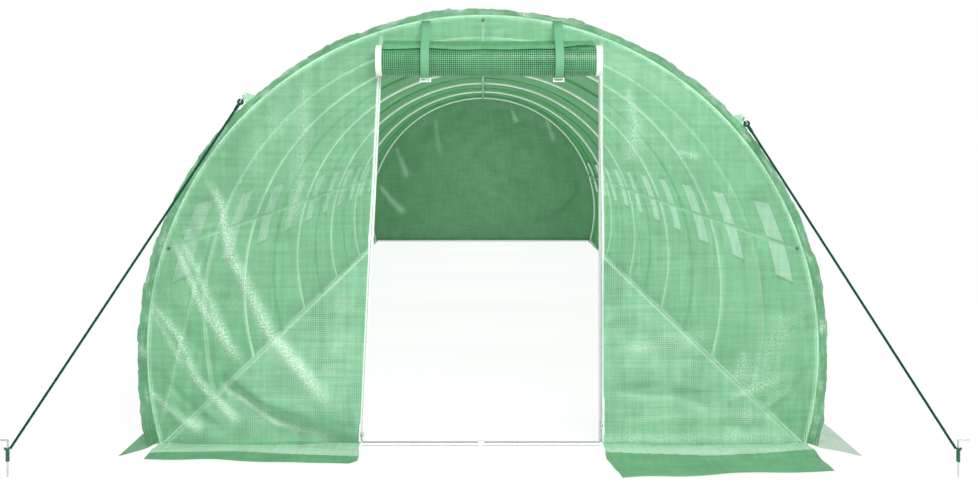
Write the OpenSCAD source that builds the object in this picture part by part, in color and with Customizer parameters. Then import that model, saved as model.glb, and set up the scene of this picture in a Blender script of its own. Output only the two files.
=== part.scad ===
// Polytunnel greenhouse: bent tube hoops, a woven film cover, a rolled-up door, window nets and guy ropes.
// Millimetres. X runs across the tunnel, Y along it with the doorway at -Y, Z up from the ground.

/* [Tunnel] */
// Distance between the centre lines of the first and the last hoop
tunnel_length = 10000; // [8000:100:12000]
// Number of hoops along the tunnel
hoop_count = 6; // [4:1:9]
// Radius of a hoop's centre line
hoop_radius = 1460; // [1200:5:1700]
// Height of the hoops' centre above the ground
arch_centre = 417; // [300:5:500]
// Outside diameter of every frame tube
tube_d = 20; // [16:1:32]
// Number of bent tubes that make up one hoop
tubes_per_hoop = 10; // [8:2:14]
// Angle of the side purlins above the hoops' centre
purlin_angle = 18; // [12:1:20]

/* [Cover] */
// Thickness of the cover film
film = 3; // [2:0.5:5]
// Width of the sewn rim that stands out past the cover at both ends
rim_width = 26; // [15:1:40]
// Extra thickness of the binding on the rim
rim_binding = 2; // [1:0.5:4]
// Angles at which one strip of the cover meets the next
low_strip_angle = 8; // [4:1:9]
window_strip_angle = 29; // [28:1:36]
shoulder_strip_angle = 49; // [44:1:56]
upper_strip_angle = 70; // [62:1:78]

/* [Windows] */
// Number of windows in each long side
windows_per_side = 10; // [6:1:12]
// Length of a window along the tunnel
window_length = 300; // [200:10:500]
// Lower and upper edge of a window, as angles above the hoops' centre
window_low_angle = 10; // [9.5:0.5:14]
window_high_angle = 25; // [20:0.5:26]
// Thickness of a window's net
net = 1.5; // [1:0.5:2]
// Radius of a window's rolled-up flap
flap_roll_r = 14; // [8:1:18]
// How far a flap roll reaches past the window at each end
flap_overhang = 18; // [5:1:40]

/* [Doorway] */
// Distance from the middle to the foot of the left post
left_post_foot = 531; // [480:1:600]
// Distance from the middle to the right post
right_post_foot = 517; // [480:1:600]
// Lean of the left post towards the middle, in degrees
left_lean_angle = 2.7; // [0:0.1:4]
// How far the film covers a post's outer side
post_cover = 4; // [1:1:8]
// Drop of the film's lower edge over the doorway, and of the roll's middle, below the hoop's crown
header_drop = 199; // [160:1:330]

/* [Rolled door] */
// Radius of the rolled-up door
roll_r = 72; // [50:1:85]
// Turns in the roll
roll_turns = 6; // [4:0.5:8]
// Length of green film in the roll
roll_length = 914; // [850:1:980]
// Width of the white zip band at each end of the roll
zip_band = 26; // [15:1:35]
// Offset of the roll from the tunnel's middle
roll_offset = 26; // [0:1:40]
// Width of a tie strap
strap_width = 38; // [25:1:50]
// Thickness of a tie strap
strap = 2.5; // [1.5:0.5:4]
// Distances of the two straps from the tunnel's middle
left_strap_x = 247; // [180:1:350]
right_strap_x = 325; // [180:1:420]
// Drop of the straps' sewn upper ends below the hoop's crown
strap_drop = 24; // [20:1:60]
// Width and height of a buckle
buckle_width = 48; // [44:1:70]
buckle_height = 19; // [15:1:26]
// Thickness of a buckle
buckle = 5; // [3:0.5:8]

/* [Skirts] */
// Width of the long skirts on the ground
left_skirt_width = 127; // [80:1:250]
right_skirt_width = 187; // [80:1:250]
// Reach of the long skirts' free corners past both ends
skirt_flare = 175; // [0:5:250]
// Reach of the front skirts, at the outer end and beside the doorway
left_front_outer = 250; // [150:5:400]
left_front_door = 310; // [150:5:450]
right_front_outer = 350; // [150:5:450]
right_front_door = 450; // [150:5:455]
// Reach of the rear skirt
rear_reach = 300; // [150:5:450]

/* [Guy ropes] */
// Angles of the left and right tabs above the hoops' centre
left_tab_angle = 47; // [35:1:55]
right_tab_angle = 42; // [35:1:55]
// Length, width and thickness of a tab
tab_length = 56; // [40:1:80]
tab_width = 40; // [25:1:60]
tab = 3; // [2:0.5:4]
// Radius of a ring's centre line and of its wire
ring_r = 17; // [14:1:24]
ring_wire = 2.5; // [2:0.5:3]
// Diameter of a rope, and of the doubled rope in its eye and hitch
rope_d = 11.5; // [8:0.5:12]
knot_d = 13; // [12.5:0.5:16]
// Distance of a peg from the middle, and in front of the end hoop
peg_out = 1885; // [1750:5:2200]
peg_ahead = 460; // [300:5:700]
// Height of a peg and of the rope's hitch on it
peg_height = 148; // [130:1:200]
hitch_height = 112; // [60:1:118]
// Length of a peg's arm
peg_arm = 46; // [30:1:70]
// Diameter of a peg's rod
peg_d = 7; // [5:0.5:10]

/* [Fits] */
// Clearance between pieces that rest against each other
fit = 0.3; // [0.2:0.05:0.5]
// Play of a ring in a tab's hole and of a rope's eye on a ring
eye_play = 0.8; // [0.6:0.05:0.9]

/* [Hidden] */
tube_r = tube_d / 2;
half = tunnel_length / 2;
bay = tunnel_length / (hoop_count - 1);
rope_r = rope_d / 2;
knot_r = knot_d / 2;
peg_r = peg_d / 2;
// Radius at which a tube lies against the inside of the hoops
inner_r = hoop_radius - tube_d - fit;
// Inner and outer face of the cover, and the outer edge of its rim
cover_in = hoop_radius + tube_r + fit;
cover_out = cover_in + film;
rim_out = cover_out + rim_width;
// Angle at which the cover's outer face meets the ground
ground_angle = -asin(arch_centre / cover_out);
cover_foot = cover_out * cos(ground_angle);
// Planes of the end walls: the inner face towards the hoops, and the outer face
wall_in = half + tube_r + fit;
wall_out = wall_in + film;
rail_x = sqrt(pow(inner_r, 2) - pow(arch_centre - tube_r, 2));
window_pitch = tunnel_length / windows_per_side;
roll_y = -(wall_out + fit + roll_r);
header_height = arch_centre + hoop_radius - header_drop;
roll_z = header_height;
strap_rise = header_drop - strap_drop;
strap_r = roll_r + fit + strap / 2;
white = [0.94, 0.95, 0.94];
green = [0.50, 0.78, 0.59];
dark_green = [0.10, 0.30, 0.22];
steel = [0.75, 0.77, 0.77];
$fn = 48;

// Small vector helpers
function unit(v) = v / norm(v);
function turn(a) = [cos(a), sin(a)];
function left_normal(v) = [-v[1], v[0]];
function on_arch(r, a) = [r * cos(a), 0, arch_centre + r * sin(a)];

// Points its children's Z axis along v
module along(v) {
    rotate([0, acos(v[2] / norm(v)), atan2(v[1], v[0])])
        children();
}

// A piece of a ring round the hoops' centre, between two radii, two angles and two planes along the tunnel
module arch_piece(r_in, r_out, a0, a1, y0, y1) {
    translate([0, y1, arch_centre])
        rotate([90, 0, 0])
            rotate([0, 0, a0])
                rotate_extrude(angle = a1 - a0, $fn = 240)
                    translate([r_in, 0])
                        square([r_out - r_in, y1 - y0]);
}

// A straight tube along the tunnel at a place in its cross-section
module long_tube(x, z) {
    translate([x, wall_in - fit, z])
        rotate([90, 0, 0])
            cylinder(d = tube_d, h = 2 * (wall_in - fit));
}

// One hoop: bent tubes end to end, with the lowest two cut level with the ground
module hoop(i) {
    foot_angle = -asin((arch_centre - tube_r) / hoop_radius);
    low = foot_angle - 3;
    span = 180 - 2 * foot_angle;
    step = span / tubes_per_hoop;
    joint = asin(fit / hoop_radius) / 2;
    color(white)
        difference() {
            for (k = [0 : tubes_per_hoop - 1]) {
                a0 = k == 0 ? low : foot_angle + k * step + joint;
                a1 = k == tubes_per_hoop - 1 ? 180 - low : foot_angle + (k + 1) * step - joint;
                translate([0, -half + (i - 1) * bay, arch_centre])
                    rotate([90, 0, 0])
                        rotate([0, 0, a0])
                            rotate_extrude(angle = a1 - a0, $fn = 240)
                                translate([hoop_radius, 0])
                                    circle(r = tube_r, $fn = 32);
            }
            translate([-2 * hoop_radius, -half + (i - 1) * bay - tube_d, -hoop_radius])
                cube([4 * hoop_radius, 2 * tube_d, hoop_radius]);
        }
}

module ridge_pole() {
    color(white)
        long_tube(0, arch_centre + inner_r);
}

module purlin(side) {
    color(white)
        long_tube(side * inner_r * cos(purlin_angle), arch_centre + inner_r * sin(purlin_angle));
}

module ground_rail(side) {
    color(white)
        long_tube(side * rail_x, tube_r);
}

// A bar on the ground between the two rails, in the plane of an end hoop
module ground_bar(end) {
    reach = rail_x - tube_r - fit;
    color(white)
        translate([-reach, end * half, tube_r])
            rotate([0, 90, 0])
                cylinder(d = tube_d, h = 2 * reach);
}

// A post behind the front hoop, from the ground to the hoop's centre line
module door_post(side, foot, lean) {
    lift = tube_r * sin(lean);
    up = [-sin(lean), cos(lean)];
    start = [foot, lift - arch_centre];
    reach = start * up;
    tall = -reach + sqrt(pow(reach, 2) - start * start + pow(hoop_radius, 2));
    color(white)
        translate([side * foot, -half + tube_d + fit, lift])
            rotate([0, -side * lean, 0])
                cylinder(d = tube_d, h = tall);
}

// One strip of the cover, the whole length of the tunnel
module cover_strip(side, a0, a1) {
    mirror([side < 0 ? 1 : 0, 0, 0])
        color(green)
            arch_piece(cover_in, cover_out, a0, a1, -wall_in, wall_in);
}

// Middle of a window along the tunnel, counted from the doorway
function window_y(k) = -half + (k + 0.5) * window_pitch;

// A window's hole, or with a clearance the net that fills it
module window_piece(k, r_in, r_out, gap) {
    slack = asin(gap / cover_in);
    arch_piece(r_in, r_out, window_low_angle + slack, window_high_angle - slack,
        window_y(k) - window_length / 2 + gap, window_y(k) + window_length / 2 - gap);
}

// The strip with the windows: one panel for each, sewn edge to edge
module cover_windows(side) {
    last = windows_per_side - 1;
    color(green)
        mirror([side < 0 ? 1 : 0, 0, 0])
            for (k = [0 : last])
                difference() {
                    arch_piece(cover_in, cover_out, low_strip_angle, window_strip_angle,
                        k == 0 ? -wall_in : window_y(k) - window_pitch / 2 + fit / 2,
                        k == last ? wall_in : window_y(k) + window_pitch / 2 - fit / 2);
                    window_piece(k, cover_in - film, cover_out + film, 0);
                }
}

module window_nets() {
    middle = (cover_in + cover_out) / 2;
    color([0.72, 0.84, 0.76])
        for (side = [0, 1])
            mirror([side, 0, 0])
                for (k = [0 : windows_per_side - 1])
                    window_piece(k, middle - net / 2, middle + net / 2, fit);
}

// Each window's flap, rolled up along the window's upper edge
module window_flap_rolls() {
    a = window_high_angle + asin((flap_roll_r + 6) / cover_out);
    place = on_arch(cover_out + fit + flap_roll_r, a);
    long = window_length + 2 * flap_overhang;
    color(green)
        for (side = [-1, 1])
            for (k = [0 : windows_per_side - 1])
                translate([side * place[0], window_y(k) + long / 2, place[2]])
                    rotate([90, 0, 0])
                        cylinder(r = flap_roll_r, h = long);
}

// A whole end wall out to the rim, standing on the ground
module wall_disc(end) {
    difference() {
        translate([0, end > 0 ? wall_out : -wall_in, arch_centre])
            rotate([90, 0, 0])
                cylinder(r = rim_out, h = film, $fn = 240);
        translate([-2 * rim_out, end > 0 ? 0 : -2 * wall_out, -2 * rim_out])
            cube([4 * rim_out, 2 * wall_out, 2 * rim_out]);
    }
}

// Everything beyond the film's edge beside a post, as seen from the front
module beyond_edge(side, foot, lean) {
    edge = foot + tube_r - post_cover;
    translate([side * edge, -wall_out - film, 0])
        rotate([0, -side * lean, 0])
            translate([side > 0 ? 0 : -4 * rim_out, 0, -2 * rim_out])
                cube([4 * rim_out, 3 * film, 6 * rim_out]);
}

module front_wall_side(side, foot, lean) {
    color(green)
        intersection() {
            wall_disc(-1);
            beyond_edge(side, foot, lean);
        }
}

module front_wall_top() {
    color(green)
        difference() {
            wall_disc(-1);
            beyond_edge(-1, left_post_foot, left_lean_angle);
            beyond_edge(1, right_post_foot, 0);
            translate([-2 * rim_out, -2 * wall_out, 0])
                cube([4 * rim_out, 2 * wall_out, header_height]);
        }
}

module rear_wall() {
    color([0.36, 0.56, 0.41])
        wall_disc(1);
}

// The doubled edge round each end wall, sewn to its outer face
module cover_end_rims() {
    rim_foot = asin((arch_centre - film - fit) / rim_out);
    inner = cover_out;
    color(green)
        for (end = [-1, 1]) {
            near = end < 0 ? -wall_out - fit - rim_binding : wall_out + fit;
            arch_piece(inner, rim_out, -rim_foot, 180 + rim_foot, near, near + rim_binding);
        }
}

// A skirt that lies on the ground along one side, its free corners spread past the ends
module long_skirt(side, width) {
    near = cover_foot + fit;
    past_rim = sqrt(pow(rim_out, 2) - pow(arch_centre, 2)) + fit;
    color(green)
        mirror([side < 0 ? 1 : 0, 0, 0])
            linear_extrude(height = film)
                polygon([
                    [near, -wall_in],
                    [past_rim, -wall_in],
                    [near + width, -wall_in - skirt_flare],
                    [near + width, wall_in + skirt_flare],
                    [past_rim, wall_in],
                    [near, wall_in]
                ]);
}

// A skirt that lies on the ground before one half of the front wall
module front_skirt(side, foot, outer, beside) {
    edge = foot + tube_r - post_cover;
    near = -wall_out - fit;
    color(green)
        mirror([side < 0 ? 1 : 0, 0, 0])
            linear_extrude(height = film)
                polygon([
                    [edge, near],
                    [cover_foot, near],
                    [cover_foot, near - outer],
                    [edge + 0.08 * (cover_foot - edge), near - beside],
                    [edge, near - 0.4 * beside]
                ]);
}

module rear_skirt() {
    color(green)
        translate([-cover_foot, wall_out + fit, 0])
            cube([2 * cover_foot, rear_reach, film]);
}

// The outline of the rolled-up film: a spiral whose turns stay apart and whose outer end faces the wall
module spiral(r_end, turns) {
    steps = ceil(turns * 20);
    core = 0.4 * r_end;
    grow = r_end - core;
    skin = 0.6 * grow / turns;
    out = [for (i = [0 : steps]) (core + grow * i / steps) * turn(360 * turns * (i / steps - 1))];
    in = [for (i = [steps : -1 : 0]) (core - skin + grow * i / steps) * turn(360 * turns * (i / steps - 1))];
    polygon(concat(out, in));
}

// A length of the roll, starting at a place across the doorway
module roll_piece(x, length) {
    translate([x, roll_y, roll_z])
        rotate([90, 0, 90])
            linear_extrude(height = length)
                spiral(roll_r, roll_turns);
}

module door_roll() {
    color(green)
        roll_piece(roll_offset - roll_length / 2, roll_length);
}

module door_roll_zip_ends() {
    color(white) {
        roll_piece(roll_offset - roll_length / 2 - zip_band, zip_band);
        roll_piece(roll_offset + roll_length / 2, zip_band);
    }
}

// The outline of a strap: from the wall over the front of the roll to its lowest line
module strap_outline() {
    top = [-wall_out - fit - strap / 2 - roll_y, strap_rise];
    bearing = atan2(top[1], top[0]) + acos(strap_r / norm(top));
    path = concat([top], [for (i = [0 : 12]) strap_r * turn(bearing + (270 - bearing) * i / 12)]);
    last = len(path) - 1;
    normals = [for (i = [0 : last])
        i == 0 ? left_normal(unit(path[1] - path[0])) : -unit(path[i])];
    side_a = [for (i = [0 : last]) path[i] + normals[i] * strap / 2];
    side_b = [for (i = [last : -1 : 0]) path[i] - normals[i] * strap / 2];
    polygon(concat(side_a, side_b));
}

module door_tie_straps() {
    color(dark_green)
        for (x = [-left_strap_x, right_strap_x])
            translate([x - strap_width / 2, roll_y, roll_z])
                rotate([90, 0, 90])
                    linear_extrude(height = strap_width)
                        strap_outline();
}

module door_tie_buckles() {
    top = roll_z - strap_r - strap / 2 - fit;
    color(white)
        for (x = [-left_strap_x, right_strap_x])
            translate([x, roll_y, top - buckle_height / 2])
                difference() {
                    cube([buckle_width, buckle, buckle_height], center = true);
                    cube([buckle_width - 12, 2 * buckle, buckle_height - 11], center = true);
                }
}

// Places of one guy rope at the front: its tab's hole, its ring, and its ends
function tab_hole(side, a) =
    [side * on_arch(cover_out + tab_length - 8, a)[0],
     -wall_out - rim_binding - 2 * fit - tab / 2,
     on_arch(cover_out + tab_length - 8, a)[2]];
function peg_place(side) = [side * peg_out, -half - peg_ahead, 0];
function hitch_place(side) = peg_place(side) + [-side * (peg_r + fit + knot_r), 0, hitch_height];
function pull(side, a) = unit(hitch_place(side) - tab_hole(side, a));
function ring_centre(side, a) =
    tab_hole(side, a) + ring_r * unit([pull(side, a)[0], 0, pull(side, a)[2]]);
function eye_centre(side, a) = ring_centre(side, a) + ring_r * pull(side, a);
function eye_r() = ring_wire + eye_play + knot_r;

// Both tabs, rings, ropes or pegs at the front, and their mirror images at the rear
module both_ends() {
    for (end = [0, 1])
        mirror([0, end, 0])
            children();
}

module guy_tab(side, a) {
    hole = tab_hole(side, a);
    translate([0, hole[1], arch_centre])
        mirror([side < 0 ? 1 : 0, 0, 0])
            rotate([0, -a, 0])
                difference() {
                    translate([cover_out + tab_length / 2, 0, 0])
                        cube([tab_length, tab, tab_width], center = true);
                    translate([cover_out + tab_length - 8, 0, 0])
                        rotate([90, 0, 0])
                            cylinder(r = ring_wire + eye_play, h = 4 * tab, center = true);
                }
}

module guy_ring(side, a) {
    p = pull(side, a);
    translate(ring_centre(side, a))
        along([-p[2], 0, p[0]])
            rotate_extrude($fn = 96)
                translate([ring_r, 0])
                    circle(r = ring_wire, $fn = 24);
}

// A rope with an eye round its ring and a hitch round its peg
module guy_rope(side, a) {
    p = pull(side, a);
    flat = norm([p[0], p[2]]);
    across = [-p[0] / flat * p[1], flat, -p[2] / flat * p[1]];
    from = eye_centre(side, a) + eye_r() * p;
    to = hitch_place(side);
    translate(eye_centre(side, a))
        along(across)
            rotate_extrude($fn = 96)
                translate([eye_r(), 0])
                    circle(r = knot_r, $fn = 32);
    translate(from)
        along(to - from)
            cylinder(r = rope_r, h = norm(to - from), $fn = 32);
    translate(peg_place(side) + [0, 0, hitch_height])
        rotate_extrude($fn = 96)
            translate([peg_r + fit + knot_r, 0])
                circle(r = knot_r, $fn = 32);
}

module peg(side) {
    translate(peg_place(side)) {
        cylinder(r = peg_r, h = peg_height - peg_r);
        translate([0, 0, peg_height - peg_r]) {
            sphere(r = peg_r);
            rotate([0, side * 90, 0])
                cylinder(r = peg_r, h = peg_arm);
        }
    }
}

module guy_tabs() {
    color(dark_green)
        both_ends() {
            guy_tab(-1, left_tab_angle);
            guy_tab(1, right_tab_angle);
        }
}

module guy_rings() {
    color(steel)
        both_ends() {
            guy_ring(-1, left_tab_angle);
            guy_ring(1, right_tab_angle);
        }
}

module guy_ropes() {
    color(dark_green)
        both_ends() {
            guy_rope(-1, left_tab_angle);
            guy_rope(1, right_tab_angle);
        }
}

module pegs() {
    color(steel)
        both_ends() {
            peg(-1);
            peg(1);
        }
}

hoop(1);  // hoop_1
hoop(2);  // hoop_2
hoop(3);  // hoop_3
hoop(4);  // hoop_4
hoop(5);  // hoop_5
hoop(6);  // hoop_6
ridge_pole();
purlin(-1);  // left_purlin
purlin(1);  // right_purlin
ground_rail(-1);  // left_ground_rail
ground_rail(1);  // right_ground_rail
ground_bar(-1);  // front_ground_bar
ground_bar(1);  // rear_ground_bar
door_post(-1, left_post_foot, left_lean_angle);  // left_door_post
door_post(1, right_post_foot, 0);  // right_door_post
cover_strip(-1, ground_angle, low_strip_angle);  // left_cover_low
cover_windows(-1);  // left_cover_windows
cover_strip(-1, window_strip_angle, shoulder_strip_angle);  // left_cover_shoulder
cover_strip(-1, shoulder_strip_angle, upper_strip_angle);  // left_cover_upper
cover_strip(-1, upper_strip_angle, 90);  // left_cover_ridge
cover_strip(1, ground_angle, low_strip_angle);  // right_cover_low
cover_windows(1);  // right_cover_windows
cover_strip(1, window_strip_angle, shoulder_strip_angle);  // right_cover_shoulder
cover_strip(1, shoulder_strip_angle, upper_strip_angle);  // right_cover_upper
cover_strip(1, upper_strip_angle, 90);  // right_cover_ridge
front_wall_side(-1, left_post_foot, left_lean_angle);  // front_wall_left
front_wall_side(1, right_post_foot, 0);  // front_wall_right
front_wall_top();
rear_wall();
cover_end_rims();
long_skirt(-1, left_skirt_width);  // left_skirt
long_skirt(1, right_skirt_width);  // right_skirt
front_skirt(-1, left_post_foot, left_front_outer, left_front_door);  // front_skirt_left
front_skirt(1, right_post_foot, right_front_outer, right_front_door);  // front_skirt_right
rear_skirt();
window_nets();
window_flap_rolls();
door_roll();
door_roll_zip_ends();
door_tie_straps();
door_tie_buckles();
guy_tabs();
guy_rings();
guy_ropes();
pegs();
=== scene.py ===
# Polytunnel greenhouse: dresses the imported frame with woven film, rope, zips and fittings.
import math

import bpy
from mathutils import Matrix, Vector, noise


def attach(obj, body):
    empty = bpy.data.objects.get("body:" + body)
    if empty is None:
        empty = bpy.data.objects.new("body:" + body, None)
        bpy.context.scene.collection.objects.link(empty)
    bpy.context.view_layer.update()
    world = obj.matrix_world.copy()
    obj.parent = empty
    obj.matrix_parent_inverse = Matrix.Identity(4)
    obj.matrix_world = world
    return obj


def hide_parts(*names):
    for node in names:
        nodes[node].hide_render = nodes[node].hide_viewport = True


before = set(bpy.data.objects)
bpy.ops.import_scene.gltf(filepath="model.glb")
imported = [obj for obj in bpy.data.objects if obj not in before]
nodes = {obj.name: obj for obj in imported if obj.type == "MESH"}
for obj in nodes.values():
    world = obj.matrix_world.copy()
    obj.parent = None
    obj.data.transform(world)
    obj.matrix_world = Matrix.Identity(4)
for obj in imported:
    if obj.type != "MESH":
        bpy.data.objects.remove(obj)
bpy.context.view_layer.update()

# Sizes shared with the solids, in metres and radians. HALF is half the length, BAY the way between hoops,
# CENTRE the height of the arches' centre, and WALL_Y and TAB_Y are the planes of the end walls and rope tabs.
HALF = 5.0
BAY = 2.0
HOOP_R = 1.46
TUBE_R = 0.010
CENTRE = 0.417
COVER_R = 1.4724
COVER_OUT = 1.4733
RIM_R = 1.4993
WALL_R = HOOP_R + 0.006
WALL_Y = 5.0125
PURLIN = math.radians(18)
FOOT = -math.asin(CENTRE / COVER_R)
LEFT_FOOT, RIGHT_FOOT = -0.531, 0.517
LEAN = math.tan(math.radians(2.7))
HEADER_Z = 1.678
ROLL_R = 0.072
ROLL_X, ROLL_Y, ROLL_Z = 0.026, -5.0856, HEADER_Z
ROLL_LONG = 0.914
ROLL_START, ROLL_END = ROLL_X - ROLL_LONG / 2, ROLL_X + ROLL_LONG / 2
WINDOW_LOW, WINDOW_HIGH = math.radians(10), math.radians(25)
WINDOW_HALF = 0.15
PEG_X, PEG_Y = 1.885, -5.46
TAB_Y = 5.0174
TAB_LONG, TAB_HOLE = 0.056, 0.048
TABS = ((-1, math.radians(47)), (1, math.radians(42)))
RING_R = 0.017
HOOP_PLACES = [-HALF + BAY * i for i in range(6)]
SEAM_PLACES = [y + BAY / 2 for y in HOOP_PLACES[:-1]]
WINDOW_PLACES = [-HALF + i + 0.5 for i in range(10)]


# Shader helpers
def new_material(name):
    mat = bpy.data.materials.new(name)
    mat.use_nodes = True
    mat.node_tree.nodes.clear()
    return mat, mat.node_tree


def add(tree, kind, **values):
    # A node, with values set on it or on its inputs, or with other nodes' outputs linked to its inputs
    node = tree.nodes.new(kind)
    for key, value in values.items():
        if hasattr(node, key):
            setattr(node, key, value)
        elif isinstance(value, bpy.types.NodeSocket):
            tree.links.new(value, node.inputs[key.replace("_", " ")])
        else:
            node.inputs[key.replace("_", " ")].default_value = value
    return node


def two_shaders(tree, kind, first, second, **values):
    # A node that takes two shaders, which are its last inputs
    node = add(tree, kind, **values)
    for socket, shader in zip(list(node.inputs)[-2:], (first, second)):
        tree.links.new(shader.outputs[0], socket)
    return node


def math_node(tree, operation, a, b=None, clamp=False):
    node = add(tree, "ShaderNodeMath", operation=operation, use_clamp=clamp)
    for socket, value in zip(node.inputs, (a, b)):
        if isinstance(value, bpy.types.NodeSocket):
            tree.links.new(value, socket)
        elif value is not None:
            socket.default_value = value
    return node.outputs[0]


def ramp(tree, factor, *stops):
    node = add(tree, "ShaderNodeValToRGB", Fac=factor)
    for element, (place, colour) in zip(node.color_ramp.elements, stops):
        element.position = place
        element.color = (*colour, 1)
    return node.outputs[0]


def grey(v):
    return (v, v, v)


def fade(tree, factor, low):
    # Falls from 1 to low as the factor rises from 0 to 1
    return ramp(tree, factor, (0.0, grey(1.0)), (1.0, grey(low)))


def multiply(tree, a, b):
    node = add(tree, "ShaderNodeMix", data_type="RGBA", blend_type="MULTIPLY", Factor=1.0, A=a, B=b)
    return node.outputs["Result"]


def noise_at(tree, vector, scale, detail=3.0, rough=0.55, distortion=0.0):
    node = add(tree, "ShaderNodeTexNoise", Vector=vector, Scale=scale, Detail=detail, Roughness=rough,
               Distortion=distortion)
    return node.outputs["Fac"]


def stretched(tree, vector, along, across):
    scale = add(tree, "ShaderNodeMapping", Vector=vector, Scale=(along, across, 1))
    return noise_at(tree, scale.outputs[0], 1.0, 3.0, 0.65)


def mark(tree, name):
    return add(tree, "ShaderNodeAttribute", attribute_name=name).outputs["Fac"]


def cloth_uv(tree):
    uv = add(tree, "ShaderNodeUVMap", uv_map="cloth").outputs[0]
    split = add(tree, "ShaderNodeSeparateXYZ", Vector=uv)
    return uv, split.outputs[0], split.outputs[1]


def relief(tree, height, strength, distance):
    return add(tree, "ShaderNodeBump", Height=height, Strength=strength, Distance=distance).outputs[0]


def surface(tree, shader):
    add(tree, "ShaderNodeOutputMaterial", Surface=shader.outputs[0])


# Parts of the film's material
def threads(tree, u, v, pitch, width):
    # 1 on a thread of the reinforcing grid and 0 in the clear film between
    lines = []
    for axis in (u, v):
        cell = math_node(tree, "FRACT", math_node(tree, "DIVIDE", axis, pitch))
        off = math_node(tree, "ABSOLUTE", math_node(tree, "SUBTRACT", cell, 0.5))
        lines.append(math_node(tree, "LESS_THAN", off, width))
    return math_node(tree, "MAXIMUM", *lines)


def film_tone(tree, vector, grid, dark, light, thread, bands):
    # Clouded colour, darker on threads, brushed both ways, in bands where it is pulled, darker where marked
    # dimmed, and darker in painted shade
    base = ramp(tree, noise_at(tree, vector, 2.2, 4.0), (0.30, dark), (0.72, light))
    brush = math_node(tree, "ADD", stretched(tree, vector, 3.0, 55.0), stretched(tree, vector, 45.0, 3.5))
    brush = math_node(tree, "MULTIPLY", brush, 0.5)
    tone = ramp(tree, brush, (0.36, grey(0.76)), (0.64, grey(1.20)))
    if bands:
        pull = stretched(tree, vector, 0.8, 10.0)
        pulled = ramp(tree, pull, (0.38, grey(1 - bands)), (0.62, grey(1 + bands)))
        tone = math_node(tree, "MULTIPLY", tone, pulled)
    # Painted shade: the tone is darkened where the film is marked as lying in shade
    shade = fade(tree, mark(tree, "painted_shade"), 0.45)
    dimming = fade(tree, mark(tree, "dimmed"), 0.68)
    tone = math_node(tree, "MULTIPLY", tone, math_node(tree, "MULTIPLY", shade, dimming))
    return multiply(tree, multiply(tree, base, fade(tree, grid, thread)), tone)


def film_sparkle(tree, vector, grid, wrinkles):
    # Painted highlight: how bright the film glints, along its marked creases and along a few stray wrinkles,
    # less on threads
    swirl = noise_at(tree, vector, 2.3, 2.0, 0.5, 0.9)
    line = math_node(tree, "ABSOLUTE", math_node(tree, "SUBTRACT", swirl, 0.5))
    line = ramp(tree, line, (0.0, grey(1.0)), (0.020, grey(0.0)))
    gate = ramp(tree, noise_at(tree, vector, 1.4, 2.0), (0.48, grey(0.0)), (0.60, grey(wrinkles)))
    painted_glint = math_node(tree, "MAXIMUM", mark(tree, "painted_glint"), math_node(tree, "MULTIPLY", line, gate))
    glint = ramp(tree, noise_at(tree, vector, 130.0, 4.0, 0.7), (0.40, grey(0.16)), (0.60, grey(1.3)))
    sparkle = math_node(tree, "MULTIPLY", glint, painted_glint, True)
    return math_node(tree, "MULTIPLY", sparkle, fade(tree, grid, 0.35))


def film_share(tree, grid, sparkle, see):
    # Share that is seen through: less on threads, painted glints, dimmed film and painted shade, more where
    # it lies on a tube
    share = ramp(tree, grid, (0.0, grey(see)), (1.0, grey(see * 0.5)))
    for factor, low in ((sparkle, 0.15), (mark(tree, "dimmed"), 0.04), (mark(tree, "painted_shade"), 0.5)):
        share = math_node(tree, "MULTIPLY", share, fade(tree, factor, low))
    contact = math_node(tree, "MULTIPLY", mark(tree, "near"), 0.22)
    return math_node(tree, "ADD", share, contact, True)


def film(name, dark, light, passes, see, glow, tint, rough=0.34, creases=0.35, thread=0.66, pitch=0.0082,
         bands=0.0, wrinkles=0.0, even=0.18):
    # Woven film: threads and clear cells, part diffuse, part glowing through, part see-through
    mat, tree = new_material(name)
    vector, u, v = cloth_uv(tree)
    shown = ramp(tree, noise_at(tree, vector, 6.0, 3.0), (0.40, grey(even)), (0.66, grey(1.0)))
    grid = math_node(tree, "MULTIPLY", threads(tree, u, v, pitch, 0.17), shown)
    sparkle = film_sparkle(tree, vector, grid, wrinkles)
    tone = film_tone(tree, vector, grid, dark, light, thread, bands)
    # Painted highlight: the glints mix the tone toward a pale green
    painted_light = add(tree, "ShaderNodeMix", data_type="RGBA", Factor=sparkle, A=tone, B=(0.86, 1.0, 0.88, 1))
    crease = math_node(tree, "MULTIPLY", noise_at(tree, vector, 9.0, 5.0, 0.62, 0.6), creases)
    height = math_node(tree, "ADD", crease, math_node(tree, "MULTIPLY", grid, 0.035))
    normal = relief(tree, height, 0.55, 0.012)
    fine = noise_at(tree, vector, 38.0, 3.0)
    dull = ramp(tree, fine, (0.3, grey(rough - 0.07)), (0.75, grey(rough + 0.10)))
    skin = add(tree, "ShaderNodeBsdfPrincipled", Base_Color=painted_light.outputs["Result"], Roughness=dull,
               Normal=normal, Specular_IOR_Level=0.55)
    through = add(tree, "ShaderNodeBsdfTranslucent", Color=(*passes, 1), Normal=normal)
    body = two_shaders(tree, "ShaderNodeMixShader", skin, through, Fac=glow)
    clear = add(tree, "ShaderNodeBsdfTransparent", Color=(*tint, 1))
    share = film_share(tree, grid, sparkle, see)
    surface(tree, two_shaders(tree, "ShaderNodeMixShader", body, clear, Fac=share))
    return mat


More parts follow.
